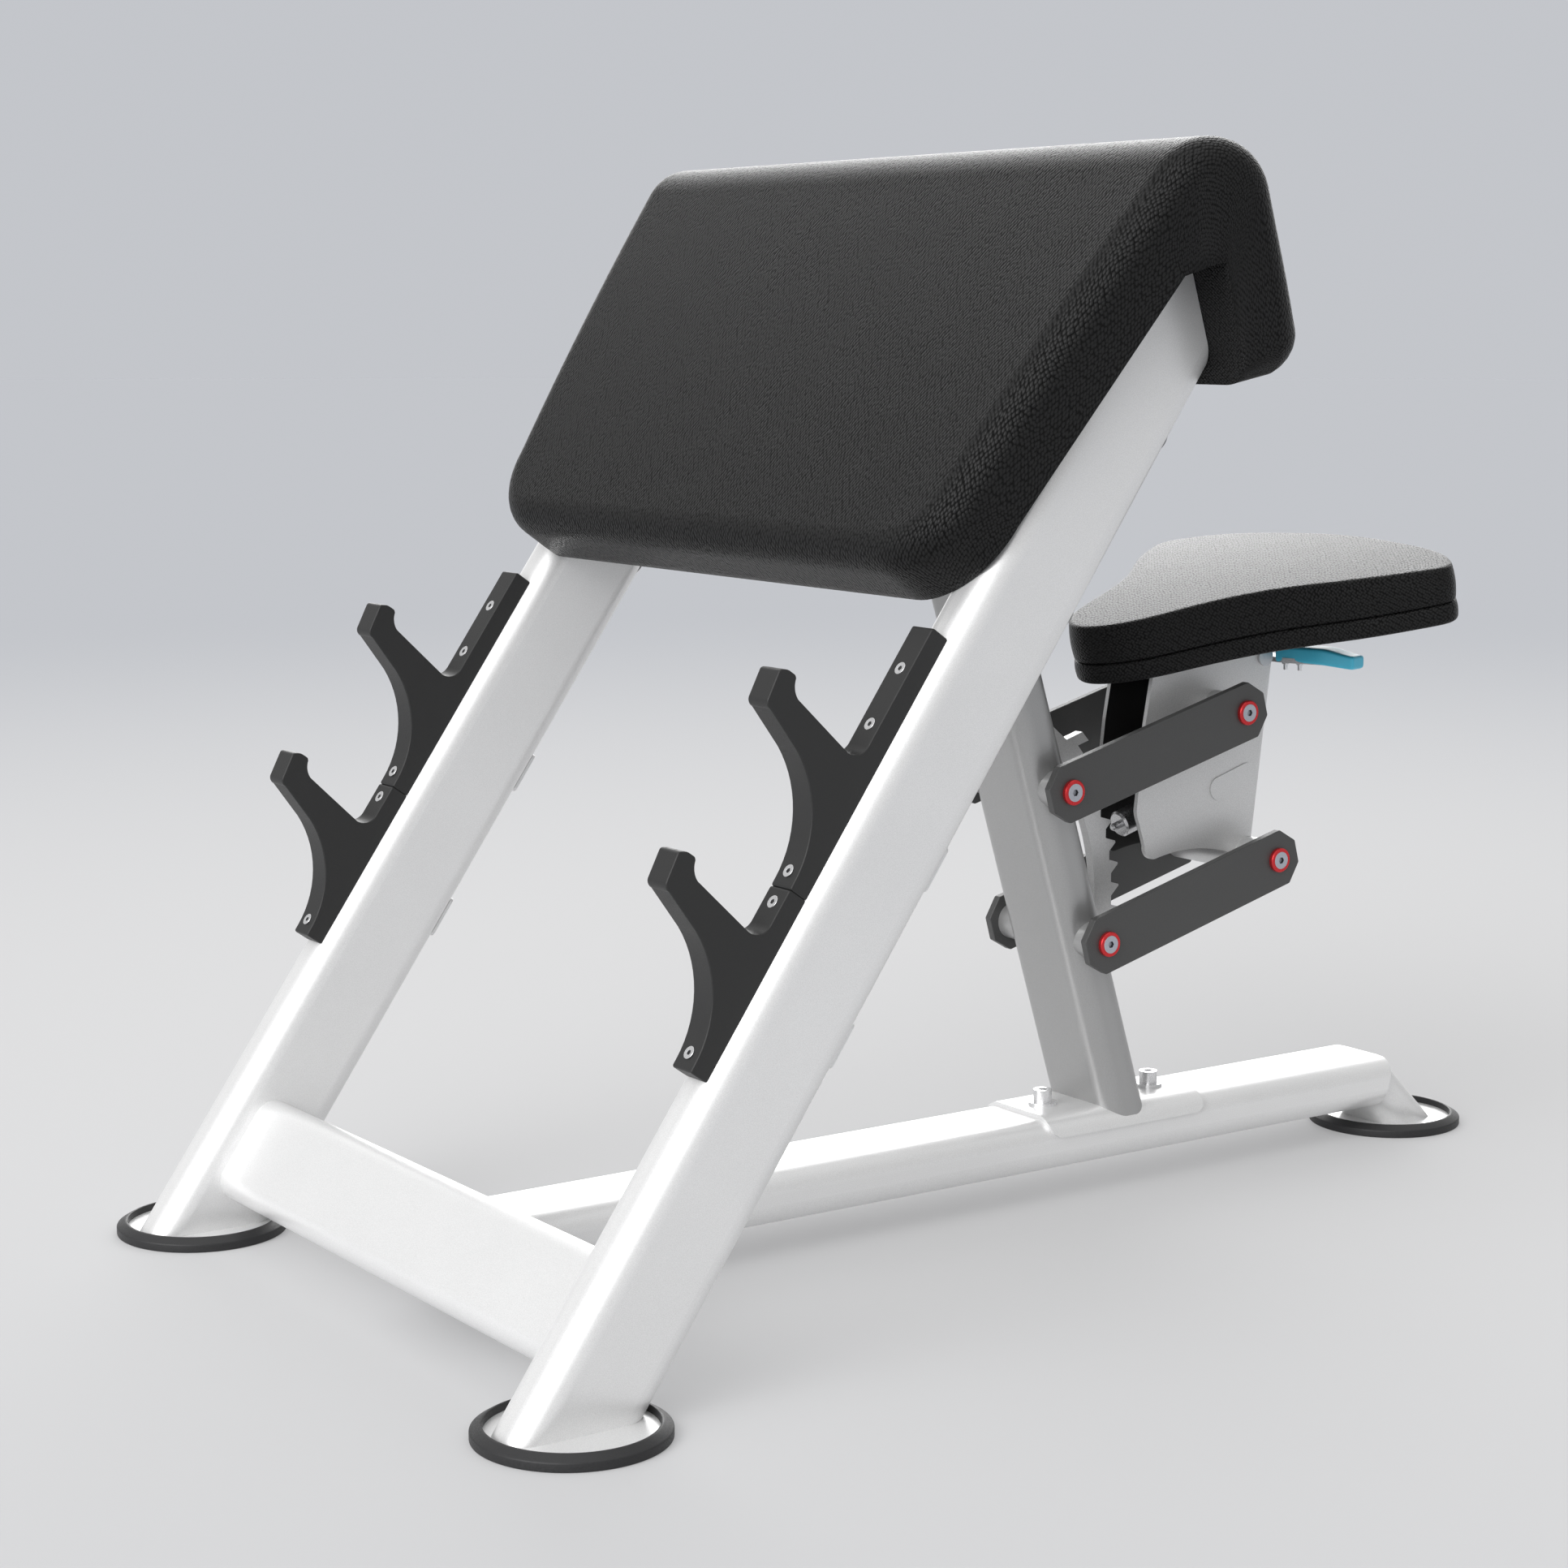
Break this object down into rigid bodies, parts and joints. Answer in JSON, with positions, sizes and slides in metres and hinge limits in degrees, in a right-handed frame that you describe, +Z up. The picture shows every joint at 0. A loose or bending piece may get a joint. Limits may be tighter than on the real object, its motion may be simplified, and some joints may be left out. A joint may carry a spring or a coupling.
{
  "type": "preacher curl bench",
  "caption": "Preacher curl bench: sloping arm pad on leaning legs with barbell hooks, and a swing-up padded seat locked by a spring plunger on a toothed sector.",
  "frame": {"origin": "on the floor, midway between the front feet and the rear foot, in the middle plane", "axes": "+X to the left of the seated user, +Y from the arm pad back to the seat, +Z up"},
  "size_m": [0.826, 1.353, 0.9873],
  "materials": {
    "frame_paint": "satin silver powder coat",
    "dark_paint": "matt dark grey powder coat",
    "steel": "bright zinc plated",
    "red_anodised": "red anodised, satin",
    "bush": "sintered bronze",
    "rubber": "matt black",
    "hook_moulding": "matt black moulding",
    "vinyl": "pebbled black vinyl",
    "board": "plain plywood",
    "grip": "teal blue, satin"
  },
  "bodies": {
    "frame": {"arm_pad": "vinyl", "arm_pad_board": "board", "arm_pad_bolts": "steel", "base_beam": "frame_paint", "front_cross_tube": "frame_paint", "hook_screws": "steel", "left_foot_plate": "frame_paint", "left_foot_ring": "rubber", "left_leg": "frame_paint", "left_leg_cap": "frame_paint", "left_lower_hook": "hook_moulding", "left_upper_hook": "hook_moulding", "leg_covers": "frame_paint", "lower_post_pivot": "frame_paint", "post_pivot_bolts": "steel", "post_pivot_bushes": "bush", "post_pivot_washers": "red_anodised", "rear_foot_plate": "frame_paint", "rear_foot_ring": "rubber", "rear_strut": "frame_paint", "right_foot_plate": "frame_paint", "right_foot_ring": "rubber", "right_leg": "frame_paint", "right_leg_cap": "frame_paint", "right_lower_hook": "hook_moulding", "right_upper_hook": "hook_moulding", "saddle_bolts": "steel", "saddle_plate": "frame_paint", "saddle_washers": "steel", "seat_post": "frame_paint", "tooth_sector": "frame_paint", "upper_cross_tube": "frame_paint", "upper_post_pivot": "frame_paint"},
    "upper_links": {"left_upper_link": "dark_paint", "right_upper_link": "dark_paint"},
    "lower_links": {"left_lower_link": "dark_paint", "right_lower_link": "dark_paint"},
    "seat_carriage": {"carriage_channel": "frame_paint", "upper_carriage_pivot": "frame_paint", "lower_carriage_pivot": "frame_paint", "carriage_pivot_bushes": "bush", "carriage_pivot_washers": "red_anodised", "carriage_pivot_bolts": "steel", "plunger_block": "steel", "plunger_barrel": "steel", "lever_shaft": "steel", "seat_mount": "frame_paint", "seat_bolts": "steel", "seat_board": "vinyl", "seat_cushion": "vinyl"},
    "lock_pin": {"lock_pin": "steel"},
    "release_lever": {"lever_crank": "steel", "lever_handle": "steel", "lever_grip": "grip", "grip_screws": "steel"}
  },
  "joints": [
    {"name": "seat_lift", "type": "hinge", "parent": "frame", "child": "upper_links", "pos_m": [0, 0.102, 0.40189], "axis": [1, 0, 0], "range_deg": [-17.1, 17.1]},
    {"name": "lower_swing", "type": "hinge", "parent": "frame", "child": "lower_links", "pos_m": [0, 0.14813, 0.25286], "axis": [1, 0, 0], "range_deg": [-17.1, 17.1]},
    {"name": "carriage_level", "type": "hinge", "parent": "upper_links", "child": "seat_carriage", "pos_m": [0, 0.31902, 0.46126], "axis": [1, 0, 0], "range_deg": [-17.1, 17.1]},
    {"name": "release_lever", "type": "hinge", "parent": "seat_carriage", "child": "release_lever", "pos_m": [0, 0.38202, 0.50796], "axis": [1, 0, 0], "range_deg": [-5.1, 0]},
    {"name": "lock_slide", "type": "slide", "parent": "seat_carriage", "child": "lock_pin", "axis": [0, -0.9553, -0.2957], "range_m": [0, 0.009]}
  ],
  "couplings": [
    {"joint": "lower_swing", "follows": "seat_lift", "ratio": 1},
    {"joint": "carriage_level", "follows": "seat_lift", "ratio": -1},
    {"joint": "lock_slide", "follows": "release_lever", "m_per_rad": -0.10111}
  ]
}
